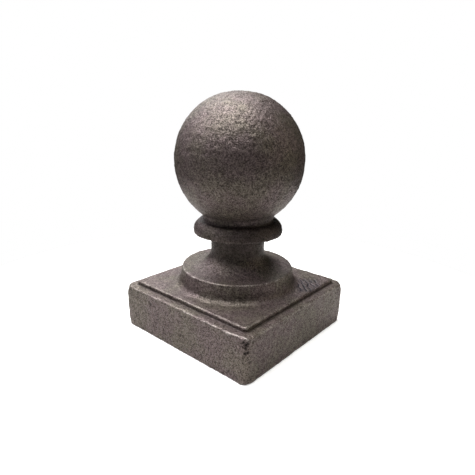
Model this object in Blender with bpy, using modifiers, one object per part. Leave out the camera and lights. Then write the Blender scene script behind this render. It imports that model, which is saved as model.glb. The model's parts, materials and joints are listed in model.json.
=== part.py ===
"""Cast-iron ball cap for a square gate post, modelled in metres with +Z up.

The cap stands on the rim of its skirt: the origin is the centre of the underside, and the
stem's axis is Z. One casting, so one solid: a square skirt with a shallow raised pad, a round
plinth, a waisted neck, a collar and a solid ball, with a square socket below for the post.
"""

import math

import bmesh
import bpy

# square part
POST_WIDTH = 0.0500
POST_CLEARANCE = 0.0010
SOCKET_WALL = 0.0040
SOCKET_CORNER_RADIUS = 0.0015
CROWN_THICKNESS = 0.0050
SKIRT_HEIGHT = 0.0159
SKIRT_CORNER_RADIUS = 0.0027
SKIRT_TOP_RADIUS = 0.0009
SKIRT_RIM_RADIUS = 0.0004
PAD_RISE = 0.0015
PAD_INSET = 0.0034
PAD_CORNER_RADIUS = 0.0012
PAD_TOP_RADIUS = 0.0004

# turned part, from the pad up to the ball
PLINTH_MARGIN = 0.0030
PLINTH_HEIGHT = 0.0064
PLINTH_FILLET = 0.0024
PLINTH_DRAFT = 0.0006
PLINTH_EDGE_RADIUS = 0.0004
NECK_RADIUS = 0.0099
NECK_HEIGHT = 0.0130
NECK_SWEEP_HEIGHT = 0.0058
PLINTH_SHELF = 0.0018
COLLAR_UNDERCUT = 0.0010
COLLAR_HEIGHT = 0.0048
COLLAR_PROJECTION = 0.0035
COLLAR_EDGE_RADIUS = 0.0003
THROAT_RADIUS = 0.0128
THROAT_HEIGHT = 0.0003
THROAT_FILLET = 0.0030
BALL_RADIUS = 0.0228

# the ball is this much taller than wide
BALL_STRETCH = 1.02

# fineness of the turned part
TURN_STEPS = 72
BALL_STEPS = 26
CURVE_STEPS = 7
FILLET_STEPS = 4
EDGE_STEPS = 2

# how far solids run into one another before they are joined or cut
OVERLAP = 0.0010
FILLET_SINK = 0.00006

SOCKET_WIDTH = POST_WIDTH + 2 * POST_CLEARANCE
SKIRT_WIDTH = SOCKET_WIDTH + 2 * SOCKET_WALL
PAD_WIDTH = SKIRT_WIDTH - 2 * PAD_INSET
PAD_TOP = SKIRT_HEIGHT + PAD_RISE
SOCKET_DEPTH = PAD_TOP - CROWN_THICKNESS
PLINTH_FOOT = PAD_WIDTH / 2 - PLINTH_MARGIN
PLINTH_RADIUS = PLINTH_FOOT - PLINTH_FILLET - PLINTH_DRAFT
PLINTH_TOP = PAD_TOP + PLINTH_HEIGHT
COLLAR_LOW = PLINTH_TOP + NECK_HEIGHT
COLLAR_TOP = COLLAR_LOW + COLLAR_HEIGHT
COLLAR_RADIUS = THROAT_RADIUS + COLLAR_PROJECTION

IRON_COLOUR = (0.13, 0.11, 0.10, 1.0)
IRON_ROUGHNESS = 0.55
IRON_METALLIC = 0.75


def clear_scene():
    for old in list(bpy.data.objects):
        bpy.data.objects.remove(old, do_unlink=True)


def make_collection(name):
    collection = bpy.data.collections.new(name)
    bpy.context.scene.collection.children.link(collection)
    return collection


def iron_material():
    material = bpy.data.materials.new("cast_iron")
    material.use_nodes = True
    shader = material.node_tree.nodes["Principled BSDF"]
    shader.inputs["Base Color"].default_value = IRON_COLOUR
    shader.inputs["Roughness"].default_value = IRON_ROUGHNESS
    shader.inputs["Metallic"].default_value = IRON_METALLIC
    return material


def add_object(name, mesh, collection):
    obj = bpy.data.objects.new(name, mesh)
    collection.objects.link(obj)
    return obj


def slab(name, collection, width, low, high, corner_radius, top_radius=0.0, rim_radius=0.0):
    """Square block with rounded upright corners and softly rounded edges at top and rim."""
    mesh = bpy.data.meshes.new(name)
    bm = bmesh.new()
    bmesh.ops.create_cube(bm, size=1.0)
    bmesh.ops.scale(bm, vec=(width, width, high - low), verts=bm.verts)
    bmesh.ops.translate(bm, vec=(0.0, 0.0, (low + high) / 2), verts=bm.verts)

    def round_off(side_of_edge, radius, steps):
        """Round the edges whose ends lie above (1), below (-1) or on both sides (0) of mid-height."""
        middle = (low + high) / 2
        edges = []
        for edge in bm.edges:
            sides = [1 if vert.co.z > middle else -1 for vert in edge.verts]
            if sum(sides) == 2 * side_of_edge:
                edges.append(edge)
        bmesh.ops.bevel(bm, geom=edges, offset=radius, segments=steps, profile=0.5, affect="EDGES")

    round_off(0, corner_radius, FILLET_STEPS)
    if top_radius:
        round_off(1, top_radius, EDGE_STEPS)
    if rim_radius:
        round_off(-1, rim_radius, EDGE_STEPS)
    bm.to_mesh(mesh)
    bm.free()
    return add_object(name, mesh, collection)


def arc(centre, radii, start, end, steps):
    """Points on an ellipse's arc round centre, from one angle to another, in degrees."""
    points = []
    for i in range(steps + 1):
        angle = math.radians(start + (end - start) * i / steps)
        points.append((centre[0] + radii[0] * math.cos(angle), centre[1] + radii[1] * math.sin(angle)))
    return points


def ball_and_throat():
    """The ball from its pole down, and the fillet that eases it into the short throat.

    Both are worked out round the centre of a true sphere, then stretched a little along the
    axis and set at the height where the fillet's end meets the throat.
    """
    reach = BALL_RADIUS + THROAT_FILLET
    drop = math.sqrt(reach ** 2 - (THROAT_RADIUS + THROAT_FILLET) ** 2)
    tangent = -math.degrees(math.asin(drop / reach))
    ball = arc((0.0, 0.0), (BALL_RADIUS, BALL_RADIUS), 90.0, tangent, BALL_STEPS)
    ball[0] = (0.0, BALL_RADIUS)
    fillet = arc((THROAT_RADIUS + THROAT_FILLET, -drop), (THROAT_FILLET, THROAT_FILLET),
                 180.0 + tangent, 180.0, FILLET_STEPS)
    centre = COLLAR_TOP + THROAT_HEIGHT + drop * BALL_STRETCH
    return [(x, centre + z * BALL_STRETCH) for x, z in ball + fillet[1:]]


def collar():
    """An ovolo that swells from the throat to a crisp lower edge."""
    ovolo_low = COLLAR_LOW + COLLAR_EDGE_RADIUS
    swell = (COLLAR_RADIUS - THROAT_RADIUS, COLLAR_TOP - ovolo_low)
    ovolo = arc((THROAT_RADIUS, ovolo_low), swell, 90.0, 0.0, CURVE_STEPS)
    edge = arc((COLLAR_RADIUS - COLLAR_EDGE_RADIUS, ovolo_low),
               (COLLAR_EDGE_RADIUS, COLLAR_EDGE_RADIUS), 0.0, -90.0, EDGE_STEPS)
    return ovolo + edge[1:]


def neck():
    """A short straight neck under the collar that sweeps out to the plinth's flat shelf."""
    sweep_end = PLINTH_RADIUS - PLINTH_EDGE_RADIUS - PLINTH_SHELF
    sweep = arc((sweep_end, PLINTH_TOP + NECK_SWEEP_HEIGHT),
                (sweep_end - NECK_RADIUS, NECK_SWEEP_HEIGHT), 180.0, 270.0, CURVE_STEPS)
    return [(NECK_RADIUS, COLLAR_LOW + COLLAR_UNDERCUT)] + sweep


def plinth():
    """The plinth's soft top edge, its steep side, and the fillet that spreads to the foot."""
    edge = arc((PLINTH_RADIUS - PLINTH_EDGE_RADIUS, PLINTH_TOP - PLINTH_EDGE_RADIUS),
               (PLINTH_EDGE_RADIUS, PLINTH_EDGE_RADIUS), 90.0, 0.0, EDGE_STEPS)
    fillet = arc((PLINTH_FOOT, PAD_TOP + PLINTH_FILLET - FILLET_SINK),
                 (PLINTH_FILLET, PLINTH_FILLET), 180.0, 270.0, FILLET_STEPS)
    return edge + fillet


def stem_profile():
    """The turned part's outline at +X, from the ball's pole down into the pad."""
    outline = ball_and_throat() + collar() + neck() + plinth()
    sunk = PAD_TOP - OVERLAP
    return outline + [(PLINTH_FOOT, sunk), (0.0, sunk)]


def stem(name, collection):
    points = [(x, 0.0, z) for x, z in stem_profile()]
    mesh = bpy.data.meshes.new(name)
    mesh.from_pydata(points, [(i, i + 1) for i in range(len(points) - 1)], [])
    obj = add_object(name, mesh, collection)
    turn = obj.modifiers.new("turn", "SCREW")
    turn.axis = "Z"
    turn.angle = math.tau
    turn.steps = TURN_STEPS
    turn.render_steps = TURN_STEPS
    turn.use_smooth_shade = True
    turn.use_merge_vertices = True
    turn.merge_threshold = 0.00001
    return obj


def hide_cutter(obj):
    obj.hide_render = True
    obj.display_type = "WIRE"


def combine(target, cutter, operation):
    boolean = target.modifiers.new(cutter.name, "BOOLEAN")
    boolean.operation = operation
    boolean.solver = "EXACT"
    boolean.object = cutter
    hide_cutter(cutter)


def build_post_cap():
    parts = make_collection("post_cap")
    cutters = make_collection("post_cap_cutters")
    cap = slab("post_cap", parts, SKIRT_WIDTH, 0.0, SKIRT_HEIGHT,
               SKIRT_CORNER_RADIUS, SKIRT_TOP_RADIUS, SKIRT_RIM_RADIUS)
    pad = slab("pad_form", cutters, PAD_WIDTH, SKIRT_HEIGHT - OVERLAP, PAD_TOP,
               PAD_CORNER_RADIUS, PAD_TOP_RADIUS)
    socket = slab("socket_cutter", cutters, SOCKET_WIDTH, -OVERLAP, SOCKET_DEPTH,
                  SOCKET_CORNER_RADIUS)
    combine(cap, pad, "UNION")
    combine(cap, stem("stem_form", cutters), "UNION")
    combine(cap, socket, "DIFFERENCE")
    cap.data.materials.append(iron_material())
    cap.data.shade_smooth()
    cap.data.set_sharp_from_angle(angle=math.radians(30.0))
    return cap


clear_scene()
build_post_cap()
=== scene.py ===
# Ball cap for a square gate post, in raw cast iron: its cast skin, flaws, marks and worn edges,
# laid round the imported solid, with a plain studio to see it in.
import json
import math

import bmesh
import bpy
import numpy as np
from mathutils import Matrix, Vector, noise
from mathutils.bvhtree import BVHTree

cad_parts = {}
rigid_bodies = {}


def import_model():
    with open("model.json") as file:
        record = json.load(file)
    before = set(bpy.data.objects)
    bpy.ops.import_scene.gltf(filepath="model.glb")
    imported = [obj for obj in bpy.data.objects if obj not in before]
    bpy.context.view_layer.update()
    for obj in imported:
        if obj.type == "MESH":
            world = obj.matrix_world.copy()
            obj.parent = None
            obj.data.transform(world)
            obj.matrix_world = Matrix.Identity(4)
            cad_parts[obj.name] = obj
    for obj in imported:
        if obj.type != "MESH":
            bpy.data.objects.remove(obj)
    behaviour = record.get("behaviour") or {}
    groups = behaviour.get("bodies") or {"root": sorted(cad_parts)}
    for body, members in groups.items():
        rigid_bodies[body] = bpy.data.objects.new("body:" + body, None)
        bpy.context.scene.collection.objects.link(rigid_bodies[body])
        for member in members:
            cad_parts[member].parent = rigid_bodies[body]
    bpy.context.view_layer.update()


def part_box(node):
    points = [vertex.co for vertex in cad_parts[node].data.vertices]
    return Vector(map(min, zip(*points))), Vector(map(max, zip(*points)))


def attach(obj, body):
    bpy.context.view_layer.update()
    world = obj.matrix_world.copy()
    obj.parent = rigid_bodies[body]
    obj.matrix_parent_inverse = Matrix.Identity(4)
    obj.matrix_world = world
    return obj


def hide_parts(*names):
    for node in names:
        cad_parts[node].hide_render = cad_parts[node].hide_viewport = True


mm = 0.001
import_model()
capLow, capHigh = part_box("post_cap")


# The camera stands where the photograph was taken from, to the right of the cap's front corner.
cameraSetup = {
    "place": (0.096831, -0.113910, 0.080991),
    "turn": 40.405,  # degrees from +Y towards -X
    "pitch": 17.385,  # degrees below the horizon
    "roll": 1.372,
    "lens": 32.0,
    "sensor": 36.0,
    "pixels": 475,  # the frame's width and height
}


def makeCamera():
    data = bpy.data.cameras.new("studioCamera")
    data.lens = cameraSetup["lens"]
    data.sensor_width = cameraSetup["sensor"]
    data.clip_start = 0.01
    camera = bpy.data.objects.new("studioCamera", data)
    bpy.context.scene.collection.objects.link(camera)
    turn = Matrix.Rotation(math.radians(cameraSetup["turn"]), 4, "Z")
    tip = Matrix.Rotation(math.radians(90.0 - cameraSetup["pitch"]), 4, "X")
    roll = Matrix.Rotation(math.radians(cameraSetup["roll"]), 4, "Z")
    camera.matrix_world = Matrix.Translation(cameraSetup["place"]) @ turn @ tip @ roll
    bpy.context.scene.camera = camera
    return camera


def pixelOnPlane(camera, pixel, height):  # where the sight line through a pixel meets a level plane
    half = cameraSetup["pixels"] / 2
    reach = half * cameraSetup["lens"] / (cameraSetup["sensor"] / 2)
    local = Vector(((pixel[0] - half) / reach, (half - pixel[1]) / reach, -1.0))
    start = camera.matrix_world.translation
    sight = camera.matrix_world.to_3x3() @ local
    return start + sight * ((height - start.z) / sight.z)


# Node helpers. A value that is a socket is linked, any other is set on the input.
def addNode(tree, kind, values=None, **settings):
    node = tree.nodes.new(kind)
    for name, value in settings.items():
        setattr(node, name, value)
    for socket, value in (values or {}).items():
        if isinstance(value, bpy.types.NodeSocket):
            tree.links.new(value, node.inputs[socket])
        else:
            node.inputs[socket].default_value = value
    return node


def calc(tree, operation, *terms, clamp=False):
    node = addNode(tree, "ShaderNodeMath", dict(enumerate(terms)), operation=operation)
    node.use_clamp = clamp
    return node.outputs[0]


def vectorCalc(tree, operation, *terms, output=0):
    node = addNode(tree, "ShaderNodeVectorMath", dict(enumerate(terms)), operation=operation)
    return node.outputs[output]


def scaled(tree, vector, factor):
    node = addNode(tree, "ShaderNodeVectorMath", {0: vector, "Scale": factor}, operation="SCALE")
    return node.outputs[0]


def ramp(tree, value, fromLow, fromHigh, toLow=0.0, toHigh=1.0, smooth=False):
    node = addNode(tree, "ShaderNodeMapRange",
                   {"Value": value, "From Min": fromLow, "From Max": fromHigh,
                    "To Min": toLow, "To Max": toHigh})
    node.interpolation_type = "SMOOTHSTEP" if smooth else "LINEAR"
    return node.outputs["Result"]


def mixColours(tree, factor, first, second, blend="MIX"):
    node = addNode(tree, "ShaderNodeMix", {0: factor, 6: first, 7: second}, data_type="RGBA")
    node.blend_type = blend
    return node.outputs[2]


def fromAxis(tree, vector):  # distance from the upright axis
    spot = addNode(tree, "ShaderNodeSeparateXYZ", {0: vector}).outputs
    level = addNode(tree, "ShaderNodeCombineXYZ", {"X": spot["X"], "Y": spot["Y"]}).outputs[0]
    return vectorCalc(tree, "LENGTH", level, output="Value")


def randomValue(tree, low, high, seed, **others):
    node = addNode(tree, "FunctionNodeRandomValue",
                   {"Min": low, "Max": high, "Seed": seed, **others}, data_type="FLOAT")
    return next(socket for socket in node.outputs if socket.enabled)


def addSockets(tree, sockets, inOut):
    for name, kind, value in sockets:
        socket = tree.interface.new_socket(name, in_out=inOut, socket_type="NodeSocket" + kind)
        if value is not None:
            socket.default_value = value


def newTree(name, kind, inputs, outputs):
    tree = bpy.data.node_groups.new(name, kind)
    addSockets(tree, inputs, "INPUT")
    addSockets(tree, outputs, "OUTPUT")
    given = tree.nodes.new("NodeGroupInput").outputs
    result = tree.nodes.new("NodeGroupOutput").inputs
    return tree, given, result


def useGroup(tree, group, values):
    kind = "GeometryNodeGroup" if tree.bl_idname == "GeometryNodeTree" else "ShaderNodeGroup"
    node = tree.nodes.new(kind)
    node.node_tree = group
    for socket, value in values.items():
        if isinstance(value, bpy.types.NodeSocket):
            tree.links.new(value, node.inputs[socket])
        else:
            node.inputs[socket].default_value = value
    return node.outputs


def settle(obj):  # turns what the modifiers make into the object's own plain mesh
    depsgraph = bpy.context.evaluated_depsgraph_get()
    mesh = bpy.data.meshes.new_from_object(obj.evaluated_get(depsgraph),
                                           preserve_all_data_layers=True, depsgraph=depsgraph)
    obj.modifiers.clear()
    obj.data = mesh
    return obj


def runTree(obj, tree, values):
    modifier = obj.modifiers.new(tree.name, "NODES")
    modifier.node_group = tree
    for item in tree.interface.items_tree:
        if item.item_type == "SOCKET" and item.in_out == "INPUT" and item.name in values:
            modifier[item.identifier] = values[item.name]
    return settle(obj)


def addObject(name, mesh):
    obj = bpy.data.objects.new(name, mesh)
    bpy.context.scene.collection.objects.link(obj)
    return obj


# Square part: a low skirt with a raised pad, hollow below for the post.
squarePart = {
    "skirtHeight": 15.9 * mm,
    "skirtCorner": 2.7 * mm,
    "skirtTopEdge": 0.55 * mm,
    "skirtRim": 0.4 * mm,
    "padRise": 1.5 * mm,
    "padInset": 3.4 * mm,
    "padCorner": 1.2 * mm,
    "padTopEdge": 0.6 * mm,
    "socketWidth": 52.0 * mm,
    "socketCorner": 1.5 * mm,
    "crown": 5.0 * mm,
    "overlap": 1.0 * mm,
    "cornerSteps": 8,
    "edgeSteps": 3,
}
skirtWidth = capHigh.x - capLow.x
padWidth = skirtWidth - 2 * squarePart["padInset"]
padTop = squarePart["skirtHeight"] + squarePart["padRise"]
socketDepth = padTop - squarePart["crown"]


def roundEdges(bm, middle, ends, radius, steps):
    edges = []  # both ends above the middle is 2, both below is -2, an upright edge is 0
    for edge in bm.edges:
        if sum(1 if vert.co.z > middle else -1 for vert in edge.verts) == ends:
            edges.append(edge)
    bmesh.ops.bevel(bm, geom=edges, offset=radius, segments=steps, profile=0.5, affect="EDGES")


def makeSlab(name, width, low, high, corner, topEdge=0.0, rim=0.0):
    middle = (low + high) / 2
    bm = bmesh.new()
    bmesh.ops.create_cube(bm, size=1.0)
    bmesh.ops.scale(bm, vec=(width, width, high - low), verts=bm.verts)
    bmesh.ops.translate(bm, vec=(0.0, 0.0, middle), verts=bm.verts)
    roundEdges(bm, middle, 0, corner, squarePart["cornerSteps"])
    if topEdge:
        roundEdges(bm, middle, 2, topEdge, squarePart["edgeSteps"])
    if rim:
        roundEdges(bm, middle, -2, rim, squarePart["edgeSteps"])
    mesh = bpy.data.meshes.new(name)
    bm.to_mesh(mesh)
    bm.free()
    return addObject(name, mesh)


# Turned part: plinth, neck, collar and ball, as one outline turned about the upright axis.
turnedPart = {
    "plinthMargin": 3.0 * mm,
    "plinthHeight": 6.4 * mm,
    "plinthFillet": 2.4 * mm,
    "plinthDraft": 0.6 * mm,
    "plinthEdge": 0.4 * mm,
    "plinthShelf": 1.8 * mm,
    "neckRadius": 9.9 * mm,
    "neckHeight": 13.0 * mm,
    "neckSweep": 5.8 * mm,
    "collarUndercut": 1.0 * mm,
    "collarHeight": 4.8 * mm,
    "collarRadius": 16.3 * mm,
    "collarEdge": 0.3 * mm,
    "throatRadius": 12.8 * mm,
    "throatHeight": 0.3 * mm,
    "throatFillet": 3.0 * mm,
    "ballRadius": 22.8 * mm,
    "ballStretch": 1.02,  # the ball is a little taller than wide
    "arcSteps": 24,
    "stations": 300,  # along the outline
    "turnSteps": 192,
    "weld": 0.001 * mm,
}


def arc(centre, radii, start, end):
    points = []
    for i in range(turnedPart["arcSteps"] + 1):
        angle = math.radians(start + (end - start) * i / turnedPart["arcSteps"])
        points.append((centre[0] + radii[0] * math.cos(angle), centre[1] + radii[1] * math.sin(angle)))
    return points


def turnedOutline():
    part = turnedPart
    foot = padWidth / 2 - part["plinthMargin"]
    plinthRadius = foot - part["plinthFillet"] - part["plinthDraft"]
    plinthTop = padTop + part["plinthHeight"]
    collarLow = plinthTop + part["neckHeight"]
    collarTop = collarLow + part["collarHeight"]

    # ball and fillet, worked out on a true sphere and then stretched
    reach = part["ballRadius"] + part["throatFillet"]
    drop = math.sqrt(reach ** 2 - (part["throatRadius"] + part["throatFillet"]) ** 2)
    tangent = -math.degrees(math.asin(drop / reach))
    centre = collarTop + part["throatHeight"] + drop * part["ballStretch"]
    points = arc((0.0, 0.0), (part["ballRadius"],) * 2, 90.0, tangent)
    points += arc((part["throatRadius"] + part["throatFillet"], -drop),
                  (part["throatFillet"],) * 2, 180.0 + tangent, 180.0)
    outline = [(x, centre + z * part["ballStretch"]) for x, z in points]

    # collar: an ovolo down to a crisp lower edge
    edge = part["collarEdge"]
    outline += arc((part["throatRadius"], collarLow + edge),
                   (part["collarRadius"] - part["throatRadius"], collarTop - collarLow - edge), 90.0, 0.0)
    outline += arc((part["collarRadius"] - edge, collarLow + edge), (edge, edge), 0.0, -90.0)

    # neck, straight and then swept out to the plinth's shelf
    sweepEnd = plinthRadius - part["plinthEdge"] - part["plinthShelf"]
    outline.append((part["neckRadius"], collarLow + part["collarUndercut"]))
    outline += arc((sweepEnd, plinthTop + part["neckSweep"]),
                   (sweepEnd - part["neckRadius"], part["neckSweep"]), 180.0, 270.0)

    # plinth: soft top edge, steep side, fillet out to the foot
    edge = part["plinthEdge"]
    outline += arc((plinthRadius - edge, plinthTop - edge), (edge, edge), 90.0, 0.0)
    outline += arc((foot, padTop + part["plinthFillet"]), (part["plinthFillet"],) * 2, 180.0, 270.0)
    sunk = padTop - squarePart["overlap"]
    return outline + [(foot, sunk), (0.0, sunk)]


def makeTurningTree():
    tree, given, result = newTree(
        "turnOutline", "GeometryNodeTree",
        [("Outline", "Geometry", None), ("Stations", "Int", 300), ("Turn Steps", "Int", 240),
         ("Weld Distance", "Float", 0.00001), ("Material", "Material", None)],
        [("Solid", "Geometry", None)])
    curve = addNode(tree, "GeometryNodeMeshToCurve", {"Mesh": given["Outline"]}).outputs["Curve"]
    rows = calc(tree, "ADD", given["Turn Steps"], 1)
    sheet = addNode(tree, "GeometryNodeMeshGrid",
                    {"Size X": 1.0, "Size Y": 1.0, "Vertices X": given["Stations"], "Vertices Y": rows})
    flat = addNode(tree, "ShaderNodeSeparateXYZ",
                   {0: addNode(tree, "GeometryNodeInputPosition").outputs[0]})
    along = calc(tree, "ADD", flat.outputs["X"], 0.5)
    angle = calc(tree, "MULTIPLY", calc(tree, "ADD", flat.outputs["Y"], 0.5), math.tau)
    sample = addNode(tree, "GeometryNodeSampleCurve", {"Curves": curve, "Factor": along},
                     mode="FACTOR", use_all_curves=True)
    spot = addNode(tree, "ShaderNodeSeparateXYZ", {0: sample.outputs["Position"]})
    turned = addNode(tree, "ShaderNodeCombineXYZ",
                     {"X": calc(tree, "MULTIPLY", spot.outputs["X"], calc(tree, "COSINE", angle)),
                      "Y": calc(tree, "MULTIPLY", spot.outputs["X"], calc(tree, "SINE", angle)),
                      "Z": spot.outputs["Z"]})
    placed = addNode(tree, "GeometryNodeSetPosition",
                     {"Geometry": sheet.outputs["Mesh"], "Position": turned.outputs[0]})
    welded = addNode(tree, "GeometryNodeMergeByDistance",
                     {"Geometry": placed.outputs[0], "Distance": given["Weld Distance"]})
    real = addNode(tree, "GeometryNodeRealizeInstances", {"Geometry": welded.outputs[0]})
    done = addNode(tree, "GeometryNodeSetMaterial",
                   {"Geometry": real.outputs[0], "Material": given["Material"]})
    tree.links.new(done.outputs[0], result["Solid"])
    return tree


def makeStem(material):
    points = [(x, 0.0, z) for x, z in turnedOutline()]
    mesh = bpy.data.meshes.new("turnedPart")
    mesh.from_pydata(points, [(i, i + 1) for i in range(len(points) - 1)], [])
    stem = addObject("turnedPart", mesh)
    runTree(stem, makeTurningTree(), {
        "Stations": turnedPart["stations"],
        "Turn Steps": turnedPart["turnSteps"],
        "Material": material,
    })
    bm = bmesh.new()
    bm.from_mesh(stem.data)
    bmesh.ops.dissolve_degenerate(bm, dist=turnedPart["weld"], edges=bm.edges)
    bmesh.ops.recalc_face_normals(bm, faces=bm.faces)
    bm.to_mesh(stem.data)
    bm.free()
    return stem


# One casting: the forms are joined and remeshed as a single even skin that keeps its edges crisp.
castBody = {
    "grid": 0.50 * mm,
    "socketGrid": 0.90 * mm,
    "depth": 8,  # the remesh's octree has two to this power of cells along a side
}


def remeshEvenly(obj, grid):
    remesh = obj.modifiers.new("evenSkin", "REMESH")
    remesh.mode = "SHARP"
    remesh.octree_depth = castBody["depth"]
    remesh.scale = max(obj.dimensions) / (grid * 2 ** castBody["depth"])
    remesh.use_remove_disconnected = False
    return settle(obj)


def combine(obj, cutter, operation):
    boolean = obj.modifiers.new(operation, "BOOLEAN")
    boolean.operation = operation
    boolean.solver = "EXACT"
    boolean.object = cutter
    settle(obj)
    bpy.data.objects.remove(cutter)


def makeBody(material):
    part = squarePart
    skirt = makeSlab("skirt", skirtWidth, 0.0, part["skirtHeight"],
                     part["skirtCorner"], part["skirtTopEdge"], part["skirtRim"])
    pad = makeSlab("pad", padWidth, part["skirtHeight"] - part["overlap"], padTop,
                   part["padCorner"], part["padTopEdge"])
    combine(skirt, pad, "UNION")
    combine(skirt, makeStem(material), "UNION")
    body = remeshEvenly(skirt, castBody["grid"])
    socket = makeSlab("socket", part["socketWidth"], -part["overlap"], socketDepth, part["socketCorner"])
    combine(body, remeshEvenly(socket, castBody["socketGrid"]), "DIFFERENCE")
    body.name = "postCap"
    print("body:", len(body.data.polygons), "faces")
    return body


# Flaws the mould left, each at its pixel in the photograph: pits, a hollow under the front corner
# and a ragged lip along the arris above it. Two side corners are rounder than the others.
flaws = {
    "lipStart": (226.0, 332.5),
    "lipEnd": (248.5, 340.5),
    "lipWidth": 0.75 * mm,
    "lipRise": 0.34 * mm,
    "raggedSize": 0.8 * mm,
    "hollow": (246.5, 346.0),
    "hollowSize": 2.3 * mm,
    "hollowDepth": 0.55 * mm,
    "hollowShade": 0.45,
    "fineMesh": 4.5 * mm,  # round the hollow the mesh is made finer
    "cornerPits": [(243.2, 343.4), (248.8, 345.0), (246.2, 346.6),
                   (245.8, 349.6), (244.6, 354.3), (247.8, 353.6)],
    "cornerPitSize": 0.69 * mm,
    "loosePits": [(150.0, 304.5), (301.0, 307.0)],
    "loosePitSize": 0.90 * mm,
    "pitDepth": 0.42 * mm,
    "easeReach": 3.6 * mm,  # round each of the two side corners
    "easeTop": (0.50 * mm, 1.00 * mm),  # inward along X and Y, and down
    "easeFoot": (0.42 * mm, -0.20 * mm),
}


def pixelOnBody(camera, tree, pixel):  # where the sight line through a pixel meets the casting
    aim = pixelOnPlane(camera, pixel, 0.0)
    start = camera.matrix_world.translation
    return tree.ray_cast(start, (aim - start).normalized())[0]


def refine(obj, wanted, cuts):
    bm = bmesh.new()
    bm.from_mesh(obj.data)
    edges = {edge for face in bm.faces if wanted(face) for edge in face.edges}
    bmesh.ops.subdivide_edges(bm, edges=list(edges), cuts=cuts, use_grid_fill=True)
    bmesh.ops.triangulate(bm, faces=[face for face in bm.faces if len(face.verts) > 4])
    bm.to_mesh(obj.data)
    bm.free()


def readPoints(mesh, layer, name):
    values = np.zeros(len(mesh.vertices) * 3, np.float32)
    layer.foreach_get(name, values)
    return values.reshape(-1, 3)


def fadeWithin(distance, reach):
    share = np.clip(1.0 - distance / reach, 0.0, 1.0)
    return share * share * (3.0 - 2.0 * share)


def awayFromLine(points, start, end):
    along = end - start
    share = np.clip((points - start) @ along / (along @ along), 0.0, 1.0)
    return np.linalg.norm(points - start - share[:, None] * along, axis=1)


def castFlaws(obj, camera):
    tree = BVHTree.FromPolygons([vert.co for vert in obj.data.vertices],
                                [face.vertices for face in obj.data.polygons])

    def spotsAt(*pixels):
        return [np.array(pixelOnBody(camera, tree, pixel)) for pixel in pixels]

    hollow, lipStart, lipEnd = spotsAt(flaws["hollow"], flaws["lipStart"], flaws["lipEnd"])
    cornerPits = spotsAt(*flaws["cornerPits"])
    loosePits = spotsAt(*flaws["loosePits"])

    def nearHollow(face):
        return (Vector(hollow) - face.calc_center_median()).length < flaws["fineMesh"]

    refine(obj, nearHollow, 2)
    mesh = obj.data
    points = readPoints(mesh, mesh.vertices, "co")
    normals = readPoints(mesh, mesh.vertex_normals, "vector")
    pitted = np.zeros(len(points))
    for pits, size in ((cornerPits, flaws["cornerPitSize"]), (loosePits, flaws["loosePitSize"])):
        for centre in pits:
            pitted = np.maximum(pitted, fadeWithin(np.linalg.norm(points - centre, axis=1), size))
    sunk = fadeWithin(np.linalg.norm(points - hollow, axis=1), flaws["hollowSize"])
    ragged = np.array([noise.noise(Vector(point) / flaws["raggedSize"]) for point in points])
    lip = fadeWithin(awayFromLine(points, lipStart, lipEnd), flaws["lipWidth"])
    lip = lip * np.clip(0.9 + ragged, 0.2, 1.2)
    push = lip * flaws["lipRise"] - sunk * flaws["hollowDepth"] - pitted * flaws["pitDepth"]

    # the two side corners are eased more than the rest
    side = skirtWidth / 2
    eased = points + normals * push[:, None]
    for way in (-1.0, 1.0):
        for height, ease in ((squarePart["skirtHeight"], flaws["easeTop"]), (0.0, flaws["easeFoot"])):
            inward, down = ease
            away = np.linalg.norm(points - np.array((way * side, way * side, height)), axis=1)
            shift = -np.array((way * inward, way * inward, down))
            eased += fadeWithin(away, flaws["easeReach"])[:, None] * shift
    mesh.vertices.foreach_set("co", eased.astype(np.float32).ravel())

    # the pits and the corner hollow are darkened in the colour: painted shade
    shades = {
        "castPitShade": np.maximum(pitted, sunk * flaws["hollowShade"]),
        "castLip": np.clip(lip, 0.0, 1.0),
    }
    for name, values in shades.items():
        attribute = mesh.attributes.new(name, "FLOAT", "POINT")
        attribute.data.foreach_set("value", values.astype(np.float32))
    mesh.update()
    print("flaws:", len(cornerPits) + len(loosePits), "pits, a hollow and a lip")


# Marks: rows of short slanted strokes, rubbed and stained, on the pad to the right of the plinth.
marks = {
    "Rows": 3,
    "Strokes": 8,
    "Row Gap": 3.7 * mm,
    "Stroke Gap": 1.8 * mm,
    "Stroke Length": 3.8 * mm,
    "Slant": 0.10,  # radians
    "Slant Spread": 0.45,
    "Row Turn": -0.80,  # radians
    "Keep Off": 22.6 * mm,  # from the axis, clear of the plinth
    "Centre": (20.9 * mm, 12.6 * mm, 17.4 * mm),
    "Seed": 5,
}
markPatch = {  # the part of the pad whose mesh is made finer for the strokes
    "low": (17.5 * mm, 3.5 * mm, 17.0 * mm),
    "high": (26.6 * mm, 24.0 * mm, 18.0 * mm),
}


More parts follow.
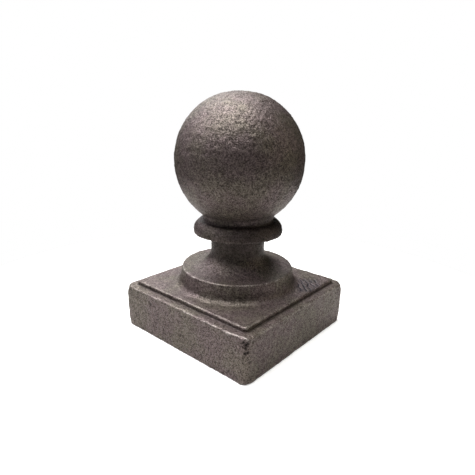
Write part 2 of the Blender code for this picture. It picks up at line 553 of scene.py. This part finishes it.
def makeMarksTree():
    tree, given, result = newTree(
        "strokeRows", "GeometryNodeTree",
        [("Rows", "Int", 3), ("Strokes", "Int", 10), ("Row Gap", "Float", 0.002),
         ("Stroke Gap", "Float", 0.001), ("Stroke Length", "Float", 0.002), ("Slant", "Float", 0.4),
         ("Slant Spread", "Float", 0.4), ("Row Turn", "Float", 0.0), ("Keep Off", "Float", 0.02),
         ("Centre", "Vector", None), ("Seed", "Int", 1)],
        [("Lines", "Geometry", None)])
    wide = calc(tree, "MULTIPLY", given["Row Gap"], calc(tree, "SUBTRACT", given["Rows"], 1.0))
    tall = calc(tree, "MULTIPLY", given["Stroke Gap"], calc(tree, "SUBTRACT", given["Strokes"], 1.0))
    spots = addNode(tree, "GeometryNodeMeshGrid",
                    {"Size X": wide, "Size Y": tall,
                     "Vertices X": given["Rows"], "Vertices Y": given["Strokes"]})

    # one stroke, laid from end to end across its middle
    half = calc(tree, "MULTIPLY", given["Stroke Length"], 0.5)
    start = addNode(tree, "ShaderNodeCombineXYZ", {"X": calc(tree, "MULTIPLY", half, -1.0)}).outputs[0]
    end = addNode(tree, "ShaderNodeCombineXYZ", {"X": half}).outputs[0]
    stroke = addNode(tree, "GeometryNodeMeshLine",
                     {"Count": 2, "Start Location": start, "Offset": end}, mode="END_POINTS")
    least = calc(tree, "SUBTRACT", given["Slant"], given["Slant Spread"])
    most = calc(tree, "ADD", given["Slant"], given["Slant Spread"])
    slant = randomValue(tree, least, most, given["Seed"])
    length = randomValue(tree, 0.45, 1.15, calc(tree, "ADD", given["Seed"], 1.0))
    slanted = addNode(tree, "ShaderNodeCombineXYZ", {"Z": slant}).outputs[0]
    placed = addNode(tree, "GeometryNodeInstanceOnPoints",
                     {"Points": spots.outputs["Mesh"], "Instance": stroke.outputs[0],
                      "Rotation": slanted, "Scale": length})
    rowTurn = addNode(tree, "ShaderNodeCombineXYZ", {"Z": given["Row Turn"]}).outputs[0]
    moved = addNode(tree, "GeometryNodeTransform",
                    {"Geometry": placed.outputs[0], "Translation": given["Centre"], "Rotation": rowTurn})
    real = addNode(tree, "GeometryNodeRealizeInstances", {"Geometry": moved.outputs[0]})
    away = fromAxis(tree, addNode(tree, "GeometryNodeInputPosition").outputs[0])
    inside = addNode(tree, "FunctionNodeCompare",
                     {"A": away, "B": given["Keep Off"]}, operation="LESS_THAN")
    kept = addNode(tree, "GeometryNodeDeleteGeometry",
                   {"Geometry": real.outputs[0], "Selection": inside.outputs[0]}, domain="POINT")
    tree.links.new(kept.outputs[0], result["Lines"])
    return tree


# Cast skin: slightly wavy, pebbled and grained as sand leaves it. The relief goes inward from a
# skin that is lifted first, except where the solid's box leaves no room for that.
castSkin = {
    "Edge Reach": 4,  # rounds of smoothing that edges and creases are measured against
    "Edge Height": 0.30 * mm,
    "Lift": 0.26 * mm,
    "Lift Fade": 1.2 * mm,
    "Grain Size": 0.90 * mm,
    "Grain Depth": 0.20 * mm,
    "Peel Size": 1.9 * mm,
    "Peel Depth": 0.20 * mm,
    "Wave Size": 9.0 * mm,
    "Wave Depth": 0.14 * mm,
    "Pits Per Area": 9000.0,
    "Pit Radius": 0.85 * mm,
    "Pit Depth": 0.24 * mm,
    "Stroke Width": 0.44 * mm,
    "Stroke Depth": 0.30 * mm,
    "Stain Reach": 2.4 * mm,
    "Recess Reach": 14.0 * mm,
    "Seed": 7,
}
recessRays = 20
recessBlur = 6  # rounds


def skinNoise(tree, position, size, seed, detail, low, high):
    node = addNode(tree, "ShaderNodeTexNoise",
                   {"Vector": position, "W": seed, "Scale": calc(tree, "DIVIDE", 1.0, size),
                    "Detail": detail, "Roughness": 0.55}, noise_dimensions="4D")
    return ramp(tree, node.outputs["Fac"], low, high)


def storeValue(tree, geometry, name, value):
    return addNode(tree, "GeometryNodeStoreNamedAttribute",
                   {"Geometry": geometry, "Name": name, "Value": value},
                   data_type="FLOAT", domain="POINT").outputs[0]


def evenDirections(count):  # spread evenly over a ball
    golden = math.pi * (3.0 - math.sqrt(5.0))
    for i in range(count):
        height = 1.0 - (2.0 * i + 1.0) / count
        across = math.sqrt(1.0 - height * height)
        yield (across * math.cos(golden * i), across * math.sin(golden * i), height)


def makeRecessTree():  # how much of what a point faces is the casting itself, from 0 to 1
    tree, given, result = newTree(
        "castRecess", "GeometryNodeTree",
        [("Body", "Geometry", None), ("Reach", "Float", 0.012), ("Lift", "Float", 0.0004)],
        [("Recess", "Float", None)])
    position = addNode(tree, "GeometryNodeInputPosition").outputs[0]
    normal = addNode(tree, "GeometryNodeInputNormal").outputs[0]
    start = vectorCalc(tree, "ADD", position, scaled(tree, normal, given["Lift"]))
    hits = 0.0
    for direction in evenDirections(recessRays):
        sight = vectorCalc(tree, "NORMALIZE", vectorCalc(tree, "ADD", normal, direction))
        ray = addNode(tree, "GeometryNodeRaycast",
                      {"Target Geometry": given["Body"], "Source Position": start,
                       "Ray Direction": sight, "Ray Length": given["Reach"]})
        near = ramp(tree, ray.outputs["Hit Distance"], 0.0, given["Reach"], 1.0, 0.0)
        hits = calc(tree, "MULTIPLY_ADD", ray.outputs["Is Hit"], near, hits)
    mean = calc(tree, "DIVIDE", hits, float(recessRays))
    smooth = addNode(tree, "GeometryNodeBlurAttribute",
                     {"Value": mean, "Iterations": recessBlur}, data_type="FLOAT")
    tree.links.new(smooth.outputs["Value"], result["Recess"])
    return tree


def makeSkinTree():
    tree, given, result = newTree(
        "castSkin", "GeometryNodeTree",
        [("Body", "Geometry", None), ("Box Low", "Vector", None), ("Box High", "Vector", None),
         ("Edge Reach", "Int", 4), ("Edge Height", "Float", 0.0003), ("Lift", "Float", 0.0002),
         ("Lift Fade", "Float", 0.001), ("Grain Size", "Float", 0.001), ("Grain Depth", "Float", 0.0001),
         ("Peel Size", "Float", 0.0025), ("Peel Depth", "Float", 0.0001), ("Wave Size", "Float", 0.012),
         ("Wave Depth", "Float", 0.0003), ("Pits Per Area", "Float", 9000.0),
         ("Pit Radius", "Float", 0.0008), ("Pit Depth", "Float", 0.0002),
         ("Stroke Width", "Float", 0.0003), ("Stroke Depth", "Float", 0.0001),
         ("Stain Reach", "Float", 0.002), ("Recess Reach", "Float", 0.012),
         ("Seed", "Int", 1), ("Material", "Material", None)],
        [("Skin", "Geometry", None)])
    position = addNode(tree, "GeometryNodeInputPosition").outputs[0]
    normal = addNode(tree, "GeometryNodeInputNormal").outputs[0]

    def blurred(rounds):
        return addNode(tree, "GeometryNodeBlurAttribute", {"Value": position, "Iterations": rounds},
                       data_type="FLOAT_VECTOR").outputs["Value"]

    # above zero on worn edges, below zero in creases
    apart = vectorCalc(tree, "SUBTRACT", position, blurred(given["Edge Reach"]))
    height = vectorCalc(tree, "DOT_PRODUCT", apart, normal, output="Value")
    edge = ramp(tree, calc(tree, "DIVIDE", height, given["Edge Height"]), -1.0, 1.0, -1.0, 1.0)
    # the recess measure is used only to paint shade into sheltered places
    recess = useGroup(tree, makeRecessTree(), {"Body": given["Body"], "Reach": given["Recess Reach"]})
    marked = storeValue(tree, given["Body"], "castEdge", edge)
    marked = storeValue(tree, marked, "castRecess", recess["Recess"])

    # grain: rounded pebbles, broken up by noise
    seed = given["Seed"]
    cells = addNode(tree, "ShaderNodeTexVoronoi",
                    {"Vector": position, "W": seed, "Smoothness": 0.35,
                     "Scale": calc(tree, "DIVIDE", 1.0, given["Grain Size"])},
                    voronoi_dimensions="4D", feature="SMOOTH_F1")
    pebbles = ramp(tree, cells.outputs["Distance"], 0.15, 0.75, 1.0, 0.0)
    speckle = skinNoise(tree, position, given["Grain Size"], seed, 2.0, 0.3, 0.7)
    grain = calc(tree, "MULTIPLY_ADD", pebbles, 0.5, calc(tree, "MULTIPLY", speckle, 0.5))
    grained = storeValue(tree, marked, "castGrain", grain)
    peelSeed = calc(tree, "ADD", seed, 11.0)
    peel = skinNoise(tree, position, given["Peel Size"], peelSeed, 1.0, 0.25, 0.75)
    waveSeed = calc(tree, "ADD", seed, 23.0)
    wave = skinNoise(tree, position, given["Wave Size"], waveSeed, 1.0, 0.25, 0.75)

    # sand pits: each point of the skin looks to the nearest pit
    pits = addNode(tree, "GeometryNodeDistributePointsOnFaces",
                   {"Mesh": given["Body"], "Density": given["Pits Per Area"], "Seed": seed})
    pits = pits.outputs["Points"]
    nearest = addNode(tree, "GeometryNodeSampleNearest",
                      {"Geometry": pits}, domain="POINT").outputs[0]
    centre = addNode(tree, "GeometryNodeSampleIndex",
                     {"Geometry": pits, "Value": position, "Index": nearest},
                     data_type="FLOAT_VECTOR", domain="POINT").outputs[0]
    share = randomValue(tree, 0.35, 1.0, seed, ID=nearest)
    away = vectorCalc(tree, "DISTANCE", position, centre, output="Value")
    rim = calc(tree, "MULTIPLY", given["Pit Radius"], share)
    pit = ramp(tree, calc(tree, "DIVIDE", away, rim), 0.0, 1.0, 1.0, 0.0, smooth=True)
    pit = calc(tree, "MULTIPLY", calc(tree, "MULTIPLY", pit, share), given["Pit Depth"])

    depth = calc(tree, "MULTIPLY", calc(tree, "SUBTRACT", 1.0, grain), given["Grain Depth"])
    depth = calc(tree, "MULTIPLY_ADD", peel, given["Peel Depth"], depth)
    depth = calc(tree, "MULTIPLY_ADD", wave, given["Wave Depth"], depth)
    depth = calc(tree, "ADD", depth, pit)

    # strokes pressed into the pad, and the stain round them
    lines = useGroup(tree, makeMarksTree(), marks)["Lines"]
    nearby = addNode(tree, "GeometryNodeProximity",
                     {"Geometry": lines, "Sample Position": position}, target_element="EDGES")
    wobble = ramp(tree, speckle, 0.0, 1.0, 0.7, 1.3)
    offStroke = calc(tree, "MULTIPLY", nearby.outputs["Distance"], wobble)
    stroke = ramp(tree, offStroke, 0.0, given["Stroke Width"], 1.0, 0.0, smooth=True)
    depth = calc(tree, "MULTIPLY_ADD", stroke, given["Stroke Depth"], depth)
    stain = ramp(tree, offStroke, 0.0, given["Stain Reach"], 1.0, 0.0, smooth=True)
    grained = storeValue(tree, grained, "castStroke", stroke)
    grained = storeValue(tree, grained, "castStain", stain)

    # room left to the nearest side of the box
    above = vectorCalc(tree, "SUBTRACT", given["Box High"], position)
    below = vectorCalc(tree, "SUBTRACT", position, given["Box Low"])
    room = addNode(tree, "ShaderNodeSeparateXYZ", {0: vectorCalc(tree, "MINIMUM", above, below)}).outputs
    room = calc(tree, "MINIMUM", calc(tree, "MINIMUM", room["X"], room["Y"]), room["Z"])
    lift = calc(tree, "MULTIPLY", ramp(tree, room, 0.0, given["Lift Fade"], smooth=True), given["Lift"])
    depth = calc(tree, "SUBTRACT", depth, lift)
    inward = scaled(tree, normal, calc(tree, "MULTIPLY", depth, -1.0))
    moved = addNode(tree, "GeometryNodeSetPosition", {"Geometry": grained, "Offset": inward})
    real = addNode(tree, "GeometryNodeRealizeInstances", {"Geometry": moved.outputs[0]})
    done = addNode(tree, "GeometryNodeSetMaterial",
                   {"Geometry": real.outputs[0], "Material": given["Material"]})
    tree.links.new(done.outputs[0], result["Skin"])
    return tree


# Finish: grey-brown iron, bright on the grain's tips and worn edges, with painted shade in pits, creases,
# sheltered places and under the ball.
castIron = {
    "dark": (0.036, 0.0275, 0.0235, 1.0),
    "bright": (0.235, 0.203, 0.184, 1.0),
    "violet": (1.05, 0.95, 1.02, 1.0),
    "olive": (1.0, 1.0, 0.91, 1.0),
    "worn": (0.46, 0.42, 0.39, 1.0),
    # colour of the painted shade in creases, sheltered places, pits and the ball's shadow
    "paintedShade": (0.018, 0.0125, 0.0105, 1.0),
    "stain": (0.040, 0.033, 0.054, 1.0),
    "ink": (0.009, 0.007, 0.012, 1.0),
    "tintSize": 9.0 * mm,
    "wearSize": 2.2 * mm,
    "fineSize": 0.35 * mm,
    "metallic": 0.6,
    "roughLow": 0.32,
    "roughHigh": 0.54,
    "bumpDepth": 0.22 * mm,
    "coarseShare": 0.35,  # of the speckle, the rest is fine grain
    "stainMost": 0.34,
    "wearEdges": (0.25, 0.80),
    "wearPatches": (0.42, 0.62),
    "creaseShadeEdges": (-0.04, -0.45),
    "creaseShadeMost": 0.65,
    "recessShadeRange": (0.09, 0.42),
    "recessShadeMost": 0.85,
    "pitShadeRange": (0.15, 0.80),
    "pitShadeMost": 0.95,
    "inkRange": (0.20, 0.60),
    "ballShadowCentre": (1.6 * mm, 0.0, 0.0),
    "ballShadowRadius": 17.0 * mm,  # painted shadow of the ball, round the neck and under the ball
    "ballShadowLow": 25.0 * mm,
    "ballShadowHigh": 45.0 * mm,
    "ballShadowMost": 0.58,
}


def makeGrainGroup():
    tree, given, result = newTree(
        "ironGrain", "ShaderNodeTree",
        [("Vector", "Vector", None), ("Size", "Float", 0.0005), ("Seed", "Float", 0.0)],
        [("Speckle", "Float", None), ("Height", "Float", None)])
    scale = calc(tree, "DIVIDE", 1.0, given["Size"])
    fine = addNode(tree, "ShaderNodeTexNoise",
                   {"Vector": given["Vector"], "W": given["Seed"], "Scale": scale,
                    "Detail": 2.0, "Roughness": 0.6}, noise_dimensions="4D").outputs["Fac"]
    tree.links.new(ramp(tree, fine, 0.38, 0.64), result["Speckle"])
    tree.links.new(fine, result["Height"])
    return tree


def makeTintGroup():
    tree, given, result = newTree(
        "slowTint", "ShaderNodeTree",
        [("Vector", "Vector", None), ("Size", "Float", 0.01), ("First", "Color", (1.0, 1.0, 1.0, 1.0)),
         ("Second", "Color", (1.0, 1.0, 1.0, 1.0))],
        [("Tint", "Color", None)])
    cloud = addNode(tree, "ShaderNodeTexNoise",
                    {"Vector": given["Vector"], "Scale": calc(tree, "DIVIDE", 1.0, given["Size"]),
                     "Detail": 3.0}).outputs["Fac"]
    share = ramp(tree, cloud, 0.35, 0.65, smooth=True)
    tree.links.new(mixColours(tree, share, given["First"], given["Second"]), result["Tint"])
    return tree


def makeBallShadowGroup():  # a band round the axis, between two heights: the mask of the painted shadow under the ball
    tree, given, result = newTree(
        "ballShadowBand", "ShaderNodeTree",
        [("Vector", "Vector", None), ("Radius", "Float", 0.017),
         ("Low", "Float", 0.02), ("High", "Float", 0.04)],
        [("Mask", "Float", None)])
    height = addNode(tree, "ShaderNodeSeparateXYZ", {0: given["Vector"]}).outputs["Z"]
    share = calc(tree, "DIVIDE", calc(tree, "SUBTRACT", height, given["Low"]),
                 calc(tree, "SUBTRACT", given["High"], given["Low"]))
    rise = ramp(tree, share, 0.0, 0.3, smooth=True)
    fall = ramp(tree, share, 0.75, 1.0, 1.0, 0.0, smooth=True)
    away = calc(tree, "DIVIDE", fromAxis(tree, given["Vector"]), given["Radius"])
    near = ramp(tree, away, 0.85, 1.05, 1.0, 0.0, smooth=True)
    tree.links.new(calc(tree, "MULTIPLY", calc(tree, "MULTIPLY", rise, fall), near), result["Mask"])
    return tree


def readAttribute(tree, name):
    return addNode(tree, "ShaderNodeAttribute", attribute_name=name).outputs["Fac"]


def makeCastIron():
    look = castIron
    material = bpy.data.materials.new("castIron")
    material.use_nodes = True
    tree = material.node_tree
    shader = tree.nodes["Principled BSDF"]
    place = addNode(tree, "ShaderNodeTexCoord").outputs["Object"]
    edge = readAttribute(tree, "castEdge")
    grain = readAttribute(tree, "castGrain")
    fine = useGroup(tree, makeGrainGroup(), {"Vector": place, "Size": look["fineSize"], "Seed": 3.0})
    tint = useGroup(tree, makeTintGroup(), {"Vector": place, "Size": look["tintSize"],
                                            "First": look["violet"], "Second": look["olive"]})
    fineShare = calc(tree, "MULTIPLY", fine["Speckle"], 1.0 - look["coarseShare"])
    speckle = calc(tree, "MULTIPLY_ADD", grain, look["coarseShare"], fineShare)
    colour = mixColours(tree, ramp(tree, speckle, 0.15, 0.85), look["dark"], look["bright"])
    colour = mixColours(tree, 1.0, colour, tint["Tint"], "MULTIPLY")
    stain = ramp(tree, readAttribute(tree, "castStain"), 0.0, 1.0, 0.0, look["stainMost"])
    colour = mixColours(tree, stain, colour, look["stain"])

    # worn edges, broken up in patches, and the lip at the front corner
    cloud = addNode(tree, "ShaderNodeTexNoise",
                    {"Vector": place, "Scale": 1.0 / look["wearSize"], "Detail": 2.0}).outputs["Fac"]
    patches = ramp(tree, cloud, *look["wearPatches"], 0.12, 1.0)
    wear = calc(tree, "MULTIPLY", ramp(tree, edge, *look["wearEdges"]), patches)
    wear = calc(tree, "MULTIPLY", wear, ramp(tree, speckle, 0.25, 0.65, 0.15, 0.8))
    lip = calc(tree, "MULTIPLY", readAttribute(tree, "castLip"), ramp(tree, speckle, 0.1, 0.5, 0.3, 1.0))
    colour = mixColours(tree, calc(tree, "MAXIMUM", wear, lip), colour, look["worn"])

    # painted shade in creases, sheltered places, under the ball round the waist, and in the pits and the
    # hollow; then the strokes
    # painted shadow of the ball over the neck and collar, as a band round the axis
    fromShadowCentre = vectorCalc(tree, "SUBTRACT", place, look["ballShadowCentre"])
    ballShadow = useGroup(tree, makeBallShadowGroup(), {"Vector": fromShadowCentre, "Radius": look["ballShadowRadius"],
                                              "Low": look["ballShadowLow"], "High": look["ballShadowHigh"]})
    # painted shade in creases and, from the occlusion rays, in sheltered places
    shade = ramp(tree, edge, *look["creaseShadeEdges"], 0.0, look["creaseShadeMost"])
    recess = ramp(tree, readAttribute(tree, "castRecess"), *look["recessShadeRange"], 0.0, look["recessShadeMost"])
    shade = calc(tree, "MAXIMUM", shade, recess)
    shade = calc(tree, "MAXIMUM", shade, calc(tree, "MULTIPLY", ballShadow["Mask"], look["ballShadowMost"]))
    # painted shade in the pits and the hollow under the front corner
    pitShade = ramp(tree, readAttribute(tree, "castPitShade"), *look["pitShadeRange"], 0.0, look["pitShadeMost"])
    colour = mixColours(tree, calc(tree, "MAXIMUM", shade, pitShade), colour, look["paintedShade"])
    inked = ramp(tree, readAttribute(tree, "castStroke"), *look["inkRange"])
    colour = mixColours(tree, inked, colour, look["ink"])

    rough = ramp(tree, speckle, 0.1, 0.9, look["roughHigh"], look["roughLow"])
    bump = addNode(tree, "ShaderNodeBump", {"Strength": 1.0, "Distance": look["bumpDepth"],
                                            "Height": fine["Height"]})
    tree.links.new(colour, shader.inputs["Base Color"])
    tree.links.new(rough, shader.inputs["Roughness"])
    tree.links.new(bump.outputs["Normal"], shader.inputs["Normal"])
    shader.inputs["Metallic"].default_value = look["metallic"]
    return material


def onMarkPatch(face):
    centre = face.calc_center_median()
    return all(markPatch["low"][i] < centre[i] < markPatch["high"][i] for i in range(3))


def makePostCap(camera):
    iron = makeCastIron()
    cap = makeBody(iron)
    castFlaws(cap, camera)
    refine(cap, onMarkPatch, 1)
    runTree(cap, makeSkinTree(), {**castSkin, "Box Low": capLow, "Box High": capHigh, "Material": iron})
    cap.data.name = "postCap"
    cap.data.shade_smooth()
    return cap


def keepInside(obj):  # holds every point within the solid's box
    points = readPoints(obj.data, obj.data.vertices, "co")
    points = np.clip(points, np.array(capLow), np.array(capHigh))
    obj.data.vertices.foreach_set("co", points.ravel())
    obj.data.update()


# Studio: the cap stands on a round white board, under broad soft lights above and behind it.
# A light's turn is in degrees from +Y towards +X, its height in degrees above the horizon.
studio = {
    "boardRadius": 0.13,
    "boardColour": (0.88, 0.88, 0.88, 1.0),
    "boardBounce": (0.61, 0.60, 0.59, 1.0),  # what the board is to the iron
    "boardGlow": 0.35,  # thins the shadow that the camera sees
    "surround": 0.02,
    "backdrop": 1.0,
    "lightSpread": 36.0,
}
softLights = {
    "overhead": {"turn": -40.0, "height": 88.0, "power": 1.98, "colour": (1.0, 0.99, 0.95)},
    "frontHigh": {"turn": 140.0, "height": 66.0, "power": 0.56},
    "leftHigh": {"turn": -160.0, "height": 66.0, "power": 0.84, "colour": (1.0, 0.97, 1.0)},
    "left": {"turn": -120.0, "height": 42.0, "power": 0.86, "colour": (1.0, 0.93, 1.0)},
    "backLeftHigh": {"turn": -115.0, "height": 62.0, "power": 1.24},
    "backHigh": {"turn": -75.0, "height": 66.0, "power": 0.66},
    "back": {"turn": -70.0, "height": 42.0, "power": 0.59},
    "backLow": {"turn": -55.0, "height": 18.0, "power": 0.32},
    "farBack": {"turn": -40.0, "height": 56.0, "power": 0.66},
    "leftLow": {"turn": -115.0, "height": 16.0, "power": 0.18},
    "frontLeftLow": {"turn": -160.0, "height": 18.0, "power": 0.12},
    "right": {"turn": 50.0, "height": 18.0, "power": 0.40, "colour": (1.0, 0.92, 0.72)},
}


def makeBoard():
    mesh = bpy.data.meshes.new("board")
    bm = bmesh.new()
    bmesh.ops.create_circle(bm, cap_ends=True, segments=96, radius=studio["boardRadius"])
    bm.to_mesh(mesh)
    bm.free()
    board = addObject("board", mesh)
    paint = bpy.data.materials.new("whiteBoard")
    paint.use_nodes = True
    tree = paint.node_tree
    shader = tree.nodes["Principled BSDF"]
    seen = addNode(tree, "ShaderNodeLightPath").outputs["Is Camera Ray"]
    colour = mixColours(tree, seen, studio["boardBounce"], studio["boardColour"])
    tree.links.new(colour, shader.inputs["Base Color"])
    shader.inputs["Emission Color"].default_value = (1.0, 1.0, 1.0, 1.0)
    tree.links.new(calc(tree, "MULTIPLY", seen, studio["boardGlow"]), shader.inputs["Emission Strength"])
    shader.inputs["Roughness"].default_value = 0.8
    shader.inputs["Specular IOR Level"].default_value = 0.0
    mesh.materials.append(paint)


def makeSurround():  # white behind the board to the camera, nearly dark to everything else
    world = bpy.data.worlds.new("studio")
    bpy.context.scene.world = world
    world.use_nodes = True
    tree = world.node_tree
    seen = addNode(tree, "ShaderNodeLightPath").outputs["Is Camera Ray"]
    strength = ramp(tree, seen, 0.0, 1.0, studio["surround"], studio["backdrop"])
    back = tree.nodes["Background"]
    back.inputs["Color"].default_value = (1.0, 1.0, 1.0, 1.0)
    tree.links.new(strength, back.inputs["Strength"])


def makeLights():
    for name, setup in softLights.items():
        data = bpy.data.lights.new(name, "SUN")
        data.angle = math.radians(studio["lightSpread"])
        data.energy = setup["power"]
        data.color = setup.get("colour", (1.0, 1.0, 1.0))
        lamp = addObject(name, data)
        turn = math.radians(setup["turn"])
        height = math.radians(setup["height"])
        level = math.cos(height)
        towards = Vector((math.sin(turn) * level, math.cos(turn) * level, math.sin(height)))
        lamp.rotation_euler = towards.to_track_quat("Z", "Y").to_euler()


def makeStudio():
    makeBoard()
    makeSurround()
    makeLights()
    bpy.context.scene.view_settings.view_transform = "Standard"


camera = makeCamera()
makeStudio()
print("camera and studio ready")
postCap = makePostCap(camera)
keepInside(postCap)
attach(postCap, "root")
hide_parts("post_cap")
postCap.data.calc_loop_triangles()
print("post cap:", len(postCap.data.loop_triangles), "triangles")
